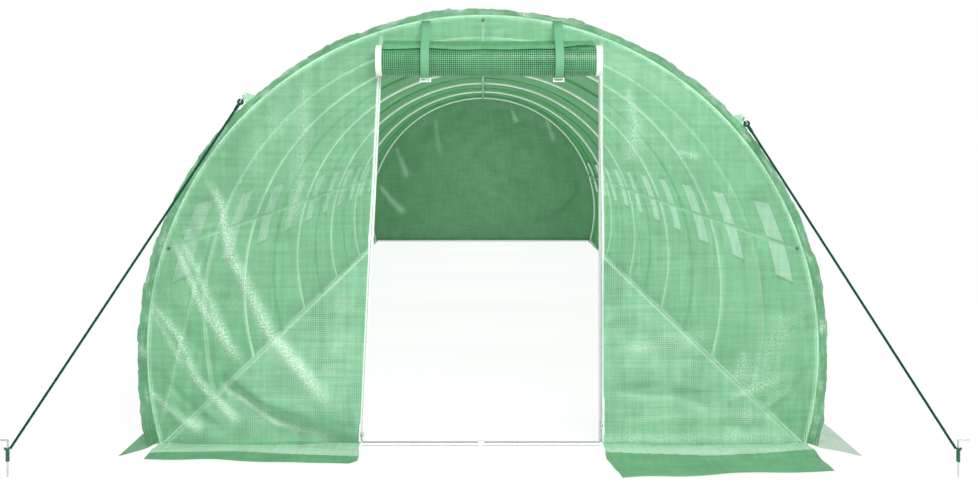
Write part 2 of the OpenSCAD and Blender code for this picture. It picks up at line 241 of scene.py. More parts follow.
def solid(name, low, high, rough, scale, metal=0.0, bump_depth=0.0004, spec=0.5):
    # An opaque material with mottled colour and roughness in object space
    mat, tree = new_material(name)
    place = tree.nodes.new("ShaderNodeTexCoord").outputs["Object"]
    cloud = noise_at(tree, place, scale, 4.0)
    speck = noise_at(tree, place, scale * 9, 2.0)
    dull = ramp(tree, speck, (0.3, grey(rough - 0.06)), (0.7, grey(rough + 0.08)))
    skin = add(tree, "ShaderNodeBsdfPrincipled", Base_Color=ramp(tree, cloud, (0.3, low), (0.7, high)),
               Roughness=dull, Normal=relief(tree, speck, 0.4, bump_depth), Metallic=metal,
               Specular_IOR_Level=spec)
    surface(tree, skin)
    return mat


def webbing(name, low, high, pitch):
    # Woven strap: ribs across it, broken by the yarns along it
    mat, tree = new_material(name)
    vector, u, v = cloth_uv(tree)
    ribs = math_node(tree, "SINE", math_node(tree, "MULTIPLY", v, 2 * math.pi / pitch))
    yarn = math_node(tree, "SINE", math_node(tree, "MULTIPLY", u, 2 * math.pi / (pitch * 1.4)))
    weave = math_node(tree, "MULTIPLY", math_node(tree, "MULTIPLY", ribs, yarn), 0.5)
    height = math_node(tree, "ADD", weave, 0.5)
    skin = add(tree, "ShaderNodeBsdfPrincipled", Base_Color=ramp(tree, height, (0.2, low), (0.8, high)),
               Roughness=0.72, Normal=relief(tree, height, 0.5, 0.0006))
    surface(tree, skin)
    return mat


# Films: dark and light tone, colour that glows through, share seen through, share that glows, tint
FILM_COVER = film("cover_film", (0.085, 0.325, 0.135), (0.130, 0.400, 0.180), (0.07, 0.42, 0.12), 0.05, 0.42,
                  (0.75, 0.95, 0.80), rough=0.46, bands=0.34, wrinkles=0.30)
FILM_WALL = film("end_wall_film", (0.380, 0.805, 0.505), (0.480, 0.925, 0.615), (0.33, 0.89, 0.45),
                 0.62, 0.30, (0.88, 0.98, 0.91), thread=0.48, pitch=0.0094)
# The rear wall's film is painted a darker green, as shade
FILM_REAR_SHADED = film("rear_wall_film", (0.108, 0.295, 0.138), (0.142, 0.355, 0.180), (0.08, 0.28, 0.115),
                 0.02, 0.42, (0.5, 0.8, 0.6), rough=0.42)
FILM_SKIRT = film("skirt_film", (0.10, 0.36, 0.155), (0.155, 0.45, 0.215), (0.14, 0.48, 0.22), 0.06, 0.25,
                  (0.8, 0.95, 0.84), thread=0.55)
FILM_BAND = film("skirt_upper_film", (0.41, 0.73, 0.50), (0.52, 0.82, 0.60), (0.38, 0.72, 0.46), 0.16, 0.25,
                 (0.9, 0.97, 0.92), thread=0.60)
FILM_HEM = film("side_skirt_film", (0.40, 0.60, 0.46), (0.48, 0.66, 0.54), (0.34, 0.60, 0.42), 0.30, 0.25,
                (0.9, 0.97, 0.92))
FILM_RIM = film("rim_film", (0.115, 0.38, 0.175), (0.180, 0.47, 0.24), (0.11, 0.42, 0.18), 0.05, 0.34,
                (0.7, 0.92, 0.76), thread=0.5)
FILM_SEAM = film("seam_film", (0.125, 0.39, 0.185), (0.175, 0.47, 0.235), (0.09, 0.42, 0.15), 0.02, 0.34,
                 (0.7, 0.92, 0.76))
FILM_ROLL = film("door_film", (0.143, 0.59, 0.247), (0.205, 0.70, 0.318), (0.08, 0.36, 0.14), 0.02, 0.20,
                 (0.5, 0.85, 0.6), rough=0.36, creases=0.5, thread=0.0, pitch=0.0086, even=0.85)
FILM_HEADER = film("header_film", (0.15, 0.49, 0.22), (0.20, 0.56, 0.27), (0.10, 0.40, 0.16), 0.02, 0.25,
                   (0.5, 0.85, 0.6), rough=0.36, creases=0.3, thread=0.85)
FILM_FLAP = film("flap_film", (0.14, 0.44, 0.22), (0.20, 0.52, 0.28), (0.12, 0.44, 0.20), 0.05, 0.30,
                 (0.5, 0.85, 0.6))
NET = film("window_net", (0.42, 0.60, 0.47), (0.50, 0.68, 0.54), (0.44, 0.66, 0.50), 0.30, 0.50,
           (0.9, 0.97, 0.92), rough=0.6, creases=0.05)
TAPE = webbing("binding_tape", (0.46, 0.78, 0.56), (0.58, 0.86, 0.66), 0.004)
ZIP = webbing("zip_tape", (0.80, 0.83, 0.80), (0.92, 0.94, 0.92), 0.003)
STRAP = webbing("webbing", (0.10, 0.34, 0.17), (0.17, 0.46, 0.25), 0.004)
ROPE = solid("rope", (0.002, 0.045, 0.025), (0.006, 0.090, 0.052), 0.70, 160.0, bump_depth=0.0006, spec=0.08)
HITCH = solid("rope_hitch", (0.010, 0.105, 0.050), (0.030, 0.170, 0.090), 0.6, 160.0, bump_depth=0.0006)
TUBE = solid("frame_tube", (0.84, 0.86, 0.84), (0.92, 0.93, 0.92), 0.32, 30.0)
# Ridge pole and purlins: the frame's white tube painted green-grey, as shade
TUBE_SHADED = solid("shaded_tube", (0.36, 0.56, 0.42), (0.44, 0.64, 0.50), 0.40, 30.0)
STEEL = solid("galvanised_steel", (0.50, 0.53, 0.53), (0.72, 0.74, 0.74), 0.38, 60.0, metal=0.85)
# Dark lines of painted shade along the ground bars' edges
BAR_SHADE = solid("bar_shade_line", (0.10, 0.11, 0.11), (0.16, 0.17, 0.17), 0.5, 80.0, metal=0.2)
BUCKLE = solid("buckle_plastic", (0.82, 0.84, 0.83), (0.90, 0.91, 0.90), 0.30, 90.0)
PLUG = solid("plug_plastic", (0.010, 0.030, 0.018), (0.020, 0.050, 0.030), 0.55, 120.0)

# Marks of a point of film: near a tube, painted glint along a crease, dimmed where darker and denser, and
# painted shade
MARKS = ("near", "painted_glint", "dimmed", "painted_shade")
NO_MARKS = (0.0, 0.0, 0.0, 0.0)


# Mesh helpers
class Build:
    # Gathers grids and tubes into one mesh
    def __init__(self):
        self.verts, self.faces, self.uvs, self.marks = [], [], [], []

    def grid(self, us, vs, point, uv, keep=None, marks=None):
        # A sheet of points over two lists of steps; keep says which of its cells stay
        index = {}

        def vertex(i, j):
            if (i, j) not in index:
                index[i, j] = len(self.verts)
                self.verts.append(tuple(point(us[i], vs[j])))
                self.uvs.append(uv(us[i], vs[j]))
                self.marks.append(marks(us[i], vs[j]) if marks else NO_MARKS)
            return index[i, j]

        for j in range(len(vs) - 1):
            for i in range(len(us) - 1):
                if keep and not keep((us[i] + us[i + 1]) / 2, (vs[j] + vs[j + 1]) / 2):
                    continue
                corners = (vertex(i, j), vertex(i + 1, j), vertex(i + 1, j + 1), vertex(i, j + 1))
                self.faces.append(corners)

    def tube(self, path, radius, sides=8):
        # A round tube along a list of points, closed at both ends
        points = [Vector(p) for p in path]
        first, run, side = len(self.verts), 0.0, None
        for i, p in enumerate(points):
            ahead = points[min(i + 1, len(points) - 1)] - points[max(i - 1, 0)]
            ahead.normalize()
            if side is None:
                side = ahead.orthogonal().normalized()
            side = (side - ahead * side.dot(ahead)).normalized()
            up = ahead.cross(side)
            r = radius(i / (len(points) - 1)) if callable(radius) else radius
            if i:
                run += (p - points[i - 1]).length
            for k in range(sides):
                t = 2 * math.pi * k / sides
                self.verts.append(tuple(p + r * (math.cos(t) * side + math.sin(t) * up)))
                self.uvs.append((0.01 * k / sides, run))
                self.marks.append(NO_MARKS)
        last = len(self.verts) - sides
        for ring in range(first, last, sides):
            for k in range(sides):
                a, b = ring + k, ring + (k + 1) % sides
                self.faces.append((a, b, b + sides, a + sides))
        self.faces.append(tuple(first + k for k in reversed(range(sides))))
        self.faces.append(tuple(last + k for k in range(sides)))

    def done(self, name, mat, slot, smooth=True):
        mesh = bpy.data.meshes.new(name)
        mesh.from_pydata(self.verts, [], self.faces)
        layer = mesh.uv_layers.new(name="cloth")
        for loop in mesh.loops:
            layer.data[loop.index].uv = self.uvs[loop.vertex_index]
        mesh.polygons.foreach_set("use_smooth", [smooth] * len(mesh.polygons))
        mesh.materials.append(mat)
        for key, values in zip(MARKS, zip(*self.marks)):
            if any(values):
                mesh.attributes.new(key, "FLOAT", "POINT").data.foreach_set("value", values)
        obj = bpy.data.objects.new(name, mesh)
        bpy.context.scene.collection.objects.link(obj)
        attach(obj, "root")
        return obj


def one_grid(name, mat, slot, *sheet, **choices):
    # A piece that is a single grid
    build = Build()
    build.grid(*sheet, **choices)
    return build.done(name, mat, slot)


def steps(a, b, n):
    return [a + (b - a) * i / n for i in range(n + 1)]


def finer_steps(part, n, rest):
    # From 0 to 1, with n short steps in the first part
    return steps(0, part, n)[:-1] + steps(part, 1, rest)


def arch(r, a, y):
    return (r * math.cos(a), y, CENTRE + r * math.sin(a))


def bumpy(x, y, z, scale):
    return noise.noise(Vector((x * scale, y * scale, z * scale)))


def smooth_step(a, b, x):
    t = min(1.0, max(0.0, (x - a) / (b - a)))
    return t * t * (3 - 2 * t)


def near_line(off, width):
    # 1 on a line, falling steeply past its width
    return math.exp(-(off / width) ** 4)


def ridge(px, pz, path, width):
    # Height of a crease along a line of points in the plane of a wall, fading at its ends
    best, where, run = 1e9, 0.0, 0.0
    total = sum(math.dist(a, b) for a, b in zip(path, path[1:]))
    for (ax, az), (bx, bz) in zip(path, path[1:]):
        dx, dz = bx - ax, bz - az
        long = math.hypot(dx, dz)
        t = min(1.0, max(0.0, ((px - ax) * dx + (pz - az) * dz) / long ** 2))
        d = math.hypot(px - ax - t * dx, pz - az - t * dz)
        if d < best:
            best, where = d, (run + t * long) / total
        run += long
    wide = width * (0.6 + 0.8 * where)
    if best > 3 * wide:
        return 0.0
    ends = smooth_step(-0.02, 0.12, where) * (1 - smooth_step(0.8, 1.0, where))
    return ends * math.exp(-(best / wide) ** 2)


# The cover: one sheet over all hoops, slack between them, with its windows cut out
OVERHANG = 0.0103
HALF_METRE = (0.0, 0.009, 0.018, 0.06, 0.13, 0.20, 0.27, 0.35, 0.425)


def angle_steps():
    # From foot to foot, with a line along the windows' edges
    half = steps(FOOT, WINDOW_LOW, 14)
    half += steps(WINDOW_LOW, WINDOW_HIGH, 8)[1:]
    half += steps(WINDOW_HIGH, math.pi / 2, 34)[1:]
    return half + [math.pi - a for a in reversed(half[:-1])]


def length_steps():
    # From end to end, finer by each hoop and with a line across the windows' edges
    metre = [*HALF_METRE, 0.5, *(1 - t for t in reversed(HALF_METRE[1:]))]
    inner = [-HALF + m + t for m in range(10) for t in metre]
    return [-HALF - OVERHANG] + inner + [HALF, HALF + OVERHANG]


def is_window(a, y):
    side = a if a < math.pi / 2 else math.pi - a
    return WINDOW_LOW < side < WINDOW_HIGH and abs((y + HALF) % 1.0 - 0.5) < WINDOW_HALF


def cover_radius(a, y):
    # Taut on the hoops, slack and wrinkled between them
    slack = math.sin((y + HALF) / BAY * math.pi) ** 2
    sag = 0.011 * slack * (0.6 + 0.4 * math.sin(a))
    wrinkle = 0.0042 * bumpy(a * 2.2, y * 0.9, 3.1, 1.7) + 0.0024 * bumpy(a * 5.0, y * 2.6, 8.2, 1.9)
    edge = smooth_step(0.0, 0.25, HALF + TUBE_R - abs(y))
    return COVER_R - sag + wrinkle * slack * edge


def off_cover(lift):
    # Points a little off the cover
    return lambda a, y: arch(cover_radius(a, y) + lift, a, y)


def cover_uv(a, y):
    return (a * COVER_R, y)


# Patches of painted glint
def glint_patch(u, v, coarse, fine):
    cloud = bumpy(u, v, 12.0, coarse) + 0.6 * bumpy(u, v, 3.0, fine)
    return 0.22 * smooth_step(0.30, 0.8, cloud)


def cover_marks(a, y):
    # Clear on the hoops, with painted glints along them and painted shade beside them
    gap = abs((y + HALF + BAY / 2) % BAY - BAY / 2)
    hoop_glint = 0.5 * math.exp(-(gap / 0.035) ** 2) * (0.7 + 0.6 * bumpy(a * 12, y, 6.0, 2.0))
    shaded = 0.4 * math.exp(-((gap - 0.16) / 0.07) ** 2) * (0.6 + 0.8 * bumpy(a * 3, y, 1.0, 2.0))
    return near_line(gap, 0.011), max(glint_patch(a * 2, y, 3.0, 13.0), hoop_glint, 0.0), 0.0, max(shaded, 0.0)


ANGLES, LENGTHS = angle_steps(), length_steps()
cover = one_grid("cover_sheet", FILM_COVER, "cover_film", ANGLES, LENGTHS, off_cover(0.0), cover_uv,
                 keep=lambda a, y: not is_window(a, y), marks=cover_marks)
sides = ("low", "windows", "shoulder", "upper", "ridge")
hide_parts(*[f"{s}_cover_{p}" for s in ("left", "right") for p in sides])

# Sewn seams of the cover, half-way between the hoops
SEAM_HALF = 0.022
STITCH_OFF, STITCH_HALF = 0.019, 0.003
EDGE_OFF = 0.024


def seam_point(a, y):
    puckered = 0.0012 + 0.0008 * bumpy(a * 9, y * 30, 1.0, 1.0)
    return arch(cover_radius(a, y) + puckered, a, y)


build = Build()
for seam in SEAM_PLACES:
    build.grid(ANGLES, steps(seam - SEAM_HALF, seam + SEAM_HALF, 4), seam_point, cover_uv)
seams = build.done("cover_seams", FILM_SEAM, "cover_film")

build = Build()
for seam in SEAM_PLACES:
    for row in (seam - STITCH_OFF, seam + STITCH_OFF):
        for lift in (0.003, -0.0015):
            build.grid(ANGLES, steps(row - STITCH_HALF, row + STITCH_HALF, 1), off_cover(lift), cover_uv)
stitches = build.done("cover_seam_stitching", FILM_SEAM, "cover_film")


def hanging_edge(seam, off):
    # The free edge of a seam, which hangs a little way into the tunnel
    def point(a, v):
        drop = 0.010 + 0.004 * bumpy(a * 8, seam, off, 3.0)
        sway = 0.004 * v * bumpy(a * 11, seam, off, 2.0)
        return arch(cover_radius(a, seam + off) - 0.001 - v * drop, a, seam + off + sway)
    return point


build, pale = Build(), Build()
for seam in SEAM_PLACES:
    edging = pale if seam == SEAM_PLACES[0] else build
    for off in (-EDGE_OFF, EDGE_OFF):
        edging.grid(ANGLES, steps(0, 1, 2), hanging_edge(seam, off), lambda a, v: (a * COVER_R, v * 0.01))
edges = build.done("cover_seam_edges", FILM_SEAM, "cover_film")
first_edges = pale.done("cover_first_seam_edges", ZIP, "cover_film")

# Windows: a net, tape round the opening, and a flap that is rolled up along the upper edge
TAPE_WIDE = 0.016
TAPE_OUT = WINDOW_HALF + TAPE_WIDE
TAPE_TURN = TAPE_WIDE / COVER_R
WINDOW_UP = steps(WINDOW_LOW, WINDOW_HIGH, 8)
TAPE_ALONG = steps(-TAPE_OUT, TAPE_OUT, 6)
TAPE_STRIPS = (
    (steps(WINDOW_LOW - TAPE_TURN, WINDOW_LOW, 1), TAPE_ALONG),
    (steps(WINDOW_HIGH, WINDOW_HIGH + TAPE_TURN, 1), TAPE_ALONG),
    (WINDOW_UP, steps(-TAPE_OUT, -WINDOW_HALF, 1)),
    (WINDOW_UP, steps(WINDOW_HALF, TAPE_OUT, 1)),
)
FLAP_X, _, FLAP_Z = arch(COVER_OUT + 0.0143, WINDOW_HIGH + math.asin(0.020 / COVER_OUT), 0)
FLAP_TURN = 6 * math.pi
TIE_R, TIE_OFF, TIE_HALF = 0.0149, 0.09, 0.007
# The nets on the left side are given painted shade
NET_SHADE = {1: 0.0, -1: 0.8}


def on_side(side, lift):
    # Points off the cover, with the angle taken from the ground up on either side
    def point(a, y):
        turned = a if side > 0 else math.pi - a
        return arch(cover_radius(turned, y) + lift, turned, y)
    return point


def flap_roll(side):
    # The flap's film, wound in a spiral
    def point(t, y):
        r = (0.0045 + 0.0092 * t / FLAP_TURN) * (1 + 0.05 * bumpy(t, y * 9, side, 1.0))
        dip = 0.002 * math.sin((y * 3.1 + 0.2) * math.pi)
        return (side * (FLAP_X + r * math.cos(t + 2.2)), y, FLAP_Z + r * math.sin(t + 2.2) + dip)
    return point


net, tape, flap, tie = Build(), Build(), Build(), Build()
for side in (1, -1):
    for middle in WINDOW_PLACES:
        net.grid(WINDOW_UP, steps(middle - WINDOW_HALF, middle + WINDOW_HALF, 6), on_side(side, -0.001),
                 cover_uv, marks=lambda a, y: (0.0, 0.0, 0.0, NET_SHADE[side]))
        for angles, places in TAPE_STRIPS:
            tape.grid(angles, [middle + p for p in places], on_side(side, 0.0014), cover_uv)
        flap.grid(steps(0, FLAP_TURN, 54), steps(middle - TAPE_OUT, middle + TAPE_OUT, 8), flap_roll(side),
                  lambda t, y: (t * 0.01, y))
        for place in (middle - TIE_OFF, middle + TIE_OFF):
            tie.grid(steps(0, 2 * math.pi, 16), steps(place - TIE_HALF, place + TIE_HALF, 1),
                     lambda t, y: (side * (FLAP_X + TIE_R * math.cos(t)), y, FLAP_Z + TIE_R * math.sin(t)),
                     lambda t, y: (y, t * 0.015))
nets = net.done("window_net_panels", NET, "window_net")
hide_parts("window_nets")
tapes = tape.done("window_binding_tape", TAPE, "cover_film")
flaps = flap.done("window_flaps_rolled", FILM_FLAP, "flap_film")
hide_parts("window_flap_rolls")
ties = tie.done("window_flap_ties", STRAP, "webbing")


# Front wall: two panels beside the doorway and one over it
def left_edge(z):
    return LEFT_FOOT - TUBE_R + 0.003 + 0.005 * smooth_step(0.7, 1.4, z) + LEAN * z


def right_edge(z):
    return RIGHT_FOOT + TUBE_R - 0.002 - 0.007 * smooth_step(0.9, 1.4, z)


# Open ends of the long tubes behind the end walls
END_R = HOOP_R - 2 * TUBE_R - 0.0003
TUBE_ENDS = [(0, CENTRE + END_R)]
for side in (-1, 1):
    TUBE_ENDS.append((side * END_R * math.cos(PURLIN), CENTRE + END_R * math.sin(PURLIN)))
    TUBE_ENDS.append((side * math.sqrt(END_R ** 2 - (CENTRE - TUBE_R) ** 2), TUBE_R))

# Each crease: its line of points, its width, its height and its painted light, a painted highlight above
# nought and painted shade below nought
REAR_CREASES = (
    (((-1.14, 1.24), (-1.05, 1.02), (-0.97, 0.80)), 0.030, 0.010, 0.75),
    (((-1.37, 0.76), (-1.20, 0.54), (-0.99, 0.34)), 0.032, 0.012, 1.0),
    (((0.38, 1.72), (0.41, 1.62), (0.45, 1.54)), 0.028, 0.008, 1.0),
    (((0.82, 1.63), (0.88, 1.45), (0.92, 1.28)), 0.025, 0.008, 0.65),
    (((-0.62, 1.62), (-0.58, 1.30), (-0.52, 1.10)), 0.030, 0.008, 0.40),
    (((1.20, 0.62), (0.96, 0.36), (0.60, 0.22)), 0.050, -0.012, -0.35),
)
LEFT_CREASES = (
    (((-1.22, 1.19), (-1.14, 1.05), (-1.10, 0.83), (-1.03, 0.70), (-0.92, 0.48), (-0.80, 0.34), (-0.70, 0.21),
      (-0.63, 0.12)), 0.026, 0.012, 0.9),
    (((-1.36, 0.92), (-1.26, 0.70), (-1.22, 0.60), (-1.13, 0.47), (-1.02, 0.33)), 0.017, 0.010, 0.8),
    (((-1.33, 0.92), (-1.25, 0.78), (-1.16, 0.57), (-1.08, 0.40)), 0.013, 0.007, 0.7),
    (((-1.46, 0.65), (-1.32, 0.47), (-1.25, 0.30), (-1.18, 0.22), (-1.08, 0.12), (-1.00, 0.08)),
     0.018, 0.011, 0.8),
    (((-1.46, 0.62), (-1.36, 0.45), (-1.29, 0.32)), 0.012, 0.007, 0.5),
    (((-1.46, 0.25), (-1.37, 0.17), (-1.27, 0.09), (-1.20, 0.05)), 0.018, 0.010, 0.7),
    (((-1.18, 0.97), (-1.31, 0.47), (-1.37, 0.22), (-1.43, 0.0)), 0.006, 0.004, 0.45),
    (((-1.33, 0.93), (-1.15, 0.97)), 0.006, 0.003, 0.4),
    (((-1.16, 0.33), (-1.08, 0.25), (-0.96, 0.155), (-0.80, 0.09), (-0.55, 0.03), (-0.40, 0.02)),
     0.034, -0.018, -0.85),
    (((-1.45, 0.74), (-1.36, 0.62), (-1.22, 0.43), (-1.10, 0.30)), 0.022, -0.008, -0.55),
    (((-1.34, 1.06), (-1.24, 0.90), (-1.16, 0.66), (-1.05, 0.50)), 0.030, -0.008, -0.45),
    (((-1.44, 0.36), (-1.36, 0.27), (-1.22, 0.13), (-1.10, 0.06)), 0.018, -0.008, -0.50),
    (((-1.10, 0.24), (-0.90, 0.10), (-0.62, 0.03)), 0.016, 0.008, 0.25),
    (((-0.79, 1.62), (-0.78, 1.36), (-0.82, 1.05), (-0.80, 0.92)), 0.030, 0.006, 0.35),
    (((-1.00, 1.42), (-0.98, 1.15)), 0.030, 0.005, 0.2),
)
RIGHT_CREASES = (
    (((1.05, 0.20), (1.25, 0.28), (1.36, 0.33)), 0.022, 0.004, 0.35),
    (((1.30, 0.60), (1.27, 0.44), (1.16, 0.28), (1.08, 0.22)), 0.060, 0.004, 0.32),
    (((1.14, 0.42), (1.12, 0.34), (1.09, 0.28)), 0.024, 0.004, 0.40),
    (((1.20, 0.16), (1.36, 0.27)), 0.020, 0.004, 0.3),
    (((0.60, 0.10), (0.95, 0.14), (1.30, 0.12)), 0.024, 0.004, 0.22),
    (((0.46, 0.03), (0.95, 0.035), (1.46, 0.05)), 0.026, 0.003, 0.45),
    (((0.62, 0.42), (0.90, 0.47), (1.02, 0.50)), 0.034, 0.003, 0.28),
    (((0.62, 1.56), (0.66, 1.40), (0.64, 1.20)), 0.030, 0.005, 0.5),
    (((0.84, 1.28), (0.95, 1.25)), 0.012, 0.004, 0.4),
    (((1.12, 0.95), (1.12, 0.70), (1.08, 0.47)), 0.018, -0.006, -0.22),
    (((1.27, 0.80), (1.30, 0.55), (1.24, 0.32)), 0.014, -0.006, -0.25),
    (((0.56, 0.25), (0.80, 0.24), (1.02, 0.19)), 0.030, -0.008, -0.35),
    (((1.42, 0.36), (1.33, 0.22), (1.22, 0.12)), 0.018, -0.008, -0.45),
)
SLACK = 0.010
SUNK = 0.0005
RAIL_SLOPE, RAIL_RISE = 0.955, 1.323


def crease_lift(x, z, creases):
    return sum(height * ridge(x, z, path, width) for path, width, height, painted_light in creases)


def crease_light(x, z, creases, spread):
    # How much painted highlight and how much painted shade the creases give a point
    shares = [painted_light * ridge(x, z, path, spread * width) for path, width, height, painted_light in creases]
    return sum(max(0.0, s) for s in shares), -sum(min(0.0, s) for s in shares)


def wall_depth(x, z, creases):
    # How far the film stands off the hoop: creases, soft bulges, flat at its sewn edge
    free = smooth_step(0.0, 0.10, HOOP_R - 0.012 - math.hypot(x, z - CENTRE))
    bulge = 0.010 * bumpy(x, z, 5.0, 2.6) + 0.004 * bumpy(x, z, 9.0, 7.0)
    return max(free * (SLACK + bulge + 1.5 * crease_lift(x, z, creases)), -SUNK)


def wall_marks(x, z, creases):
    # Clear on the hoop, the ground bar and the tubes' ends; darker and less clear below the rails' lines and
    # beside the hoop; painted glints and painted shade along the creases
    r = math.hypot(x, z - CENTRE)
    patchy = 0.65 + 0.7 * bumpy(math.atan2(z - CENTRE, x), 0.0, 6.0, 9.0)
    near = max(patchy * near_line(r - HOOP_R, 0.0045), 0.8 * near_line(z - TUBE_R, 0.0085))
    for end_x, end_z in TUBE_ENDS:
        near = max(near, 1.5 * near_line(math.hypot(x - end_x, z - end_z), 0.0085))
    painted_glint, painted_shade = crease_light(x, z, creases, 1.1)
    dimmed = 1 - smooth_step(-0.010, 0.010, z + RAIL_SLOPE * abs(x) - RAIL_RISE)
    dimmed = max(dimmed, 0.85 * near_line(r - HOOP_R + 0.0095, 0.0055))
    return max(near, 0.0), min(1.0, painted_glint + glint_patch(x, z, 4.0, 17.0)), dimmed, min(1.0, painted_shade)


def upright(point):
    # The flat map of a panel that stands in the plane of an end wall
    def uv(u, v):
        x, y, z = point(u, v)
        return (x, z)
    return uv


def meets(edge):
    # Height at which a door edge meets the wall's round edge
    z = 1.7
    for _ in range(40):
        z = CENTRE + math.sqrt(WALL_R ** 2 - edge(z) ** 2)
    return z


def half_width(z):
    # Half the width of an end wall at a height
    return math.sqrt(max(WALL_R ** 2 - (z - CENTRE) ** 2, 0.0))


def wall_panel(name, edge, side, creases):
    top = meets(edge)

    def point(u, v):
        z = v * top
        outer = side * half_width(z)
        x = outer + (edge(z) - outer) * u
        return (x, -WALL_Y - wall_depth(x, z, creases), z)

    uv = upright(point)
    return one_grid(name, FILM_WALL, "end_wall_film", finer_steps(0.06, 10, 110), finer_steps(0.016, 6, 190),
                    point, uv, marks=lambda u, v: wall_marks(*uv(u, v), creases))


left_wall = wall_panel("front_panel_left", left_edge, -1, LEFT_CREASES)
right_wall = wall_panel("front_panel_right", right_edge, 1, RIGHT_CREASES)
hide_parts("front_wall_left")
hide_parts("front_wall_right")


def top_point(u, v):
    left, right = left_edge(HEADER_Z), right_edge(HEADER_Z)
    x = left + (right - left) * u
    high = CENTRE + math.sqrt(WALL_R ** 2 - x * x)
    z = HEADER_Z + (high - HEADER_Z) * v
    pucker = 0.006 * abs(bumpy(x, 0.3 * z, 2.0, 14.0)) * (1 - v)
    return (x, -WALL_Y - 0.0008 - pucker, z)


top_uv = upright(top_point)
top_wall = one_grid("front_panel_top", FILM_WALL, "end_wall_film", steps(0, 1, 90), steps(0, 1, 40),
                    top_point, top_uv, marks=lambda u, v: wall_marks(*top_uv(u, v), ()))
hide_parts("front_wall_top")


# Rear wall: one plain panel, its film painted darker as shade
REAR_TOP = CENTRE + WALL_R - 0.0005


def rear_point(u, v):
    z = v * REAR_TOP
    x = half_width(z) * (2 * u - 1)
    free = smooth_step(0.0, 0.15, HOOP_R - 0.012 - math.hypot(x, z - CENTRE))
    soft = 0.012 * bumpy(x, z, 4.0, 2.0) + 0.004 * bumpy(x, z, 1.0, 7.0)
    return (x, WALL_Y + max(free * (SLACK + soft + crease_lift(x, z, REAR_CREASES)), -SUNK), z)


rear_uv = upright(rear_point)


def rear_marks(u, v):
    # Painted glints and painted shade along the rear wall's creases
    painted_glint, painted_shade = crease_light(*rear_uv(u, v), REAR_CREASES, 1.0)
    return 0.0, min(1.0, painted_glint), 0.0, painted_shade


rear = one_grid("rear_panel", FILM_REAR_SHADED, "rear_wall_film", steps(0, 1, 130), steps(0, 1, 100),
                rear_point, rear_uv, marks=rear_marks)
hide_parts("rear_wall")


# The sewn rim round both ends, gathered so that its edge waves, wider at the foot and low on the left
def rim_width(a, end):
    wide = 0.0225 + 0.005 * math.cos(a) ** 2 + 0.006 * math.cos(a)
    wide += 0.005 * smooth_step(0.05, 0.16, bumpy(a * 8, end, 6.6, 1.9))
    wide += 0.005 * bumpy(a * 3, end, 0.4, 2.2) + 0.0045 * bumpy(a * 9, end, 2.4, 2.6)
    wide += 0.0035 * bumpy(a * 24, end, 5.4, 2.6) - 0.010 * max(0.0, bumpy(a * 6, end, 3.3, 3.0) - 0.30)
    wide += 0.018 * smooth_step(0.02, 0.28, -math.sin(a)) + 0.012 * smooth_step(0.60, 0.90, -math.cos(a))
    return wide


def rim_edge(end):
    def point(a, s):
        lean = max(0.012 * s * bumpy(a * 7, end, 7.7, 2.4), -0.0018)
        return arch(WALL_R + rim_width(a, end) * s, a, end * (WALL_Y + 0.0022 + lean))
    return point


RIM_FOOT = -math.asin((CENTRE - 0.006) / RIM_R)
build = Build()
for end in (-1, 1):
    # Painted glints in patches along the rim
    build.grid(steps(RIM_FOOT, math.pi - RIM_FOOT, 640), steps(0, 1, 4), rim_edge(end),
               lambda a, s: (a * RIM_R, s * 0.03),
               marks=lambda a, s: (0.0, max(0.0, 0.9 * bumpy(a * 12, s, 1.0, 2.5)), 0.0, 0.0))
rims = build.done("cover_rims", FILM_RIM, "end_wall_film")
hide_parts("cover_end_rims")

# Skirts on the ground; NOTCH_PART is the share of a front skirt's width that is cut back at the doorway
SKIRT_Y = WALL_Y + 0.003
SKIRT_X = 1.415
SKIRT_HALF = 5.012
CORNER_REACH = 0.170
REAR_REACH = 0.297
NOTCH_PART = 0.035


def lying(fall, wave):
    # Height of film that falls to the ground and lies on it in waves
    return max(0.0028 + fall + wave, 0.0022)


def ground_wave(x, run, seed):
    return 0.008 * (bumpy(x, run * 2, seed, 4.0) + 0.5) * smooth_step(0.03, 0.2, run)


def front_skirt(name, x_door, x_out, reach_door, reach_out, notch, spread, band, seed):
    # Lies before a front panel, cut back at the doorway, with a lighter band along the wall
    def point(u, v):
        reach = reach_door + (reach_out - reach_door) * u
        run = v * reach * (1 - notch * (1 - min(1.0, u / NOTCH_PART)))
        x = x_door + spread * smooth_step(0.0, 0.2, run) * (1 - u) + (x_out - x_door) * u
        fall = 0.012 * math.exp(-run / 0.015) + 0.010 * math.exp(-((run - 0.09) / 0.06) ** 2)
        return (x, -SKIRT_Y - run, lying(fall, ground_wave(x, run, seed)))

    by_wall = [0, 0.01, 0.02, 0.03, 0.045, 0.06, 0.08]
    skirt = one_grid(name, FILM_SKIRT, "skirt_film", finer_steps(NOTCH_PART, 4, 84),
                     by_wall + steps(0.10, 1, 60), point, lambda u, v: point(u, v)[:2])
    skirt.data.materials.append(FILM_BAND)
    for face in skirt.data.polygons:
        x, y, z = face.center
        across = (x - x_door) / (x_out - x_door)
        limit = band + 0.03 * math.sin(across * 4.2 + seed) - 0.05 * max(0.0, across - 0.75)
        face.material_index = int(-WALL_Y - y < limit)
    return skirt


skirt_l = front_skirt("front_skirt_left_film", left_edge(0), -1.414, reach_door=0.284, reach_out=0.218,
                      notch=0.12, spread=0.018, band=0.155, seed=2.0)
skirt_r = front_skirt("front_skirt_right_film", right_edge(0), 1.414, reach_door=0.495, reach_out=0.385,
                      notch=0.56, spread=-0.008, band=0.135, seed=6.0)
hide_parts("front_skirt_left")
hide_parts("front_skirt_right")


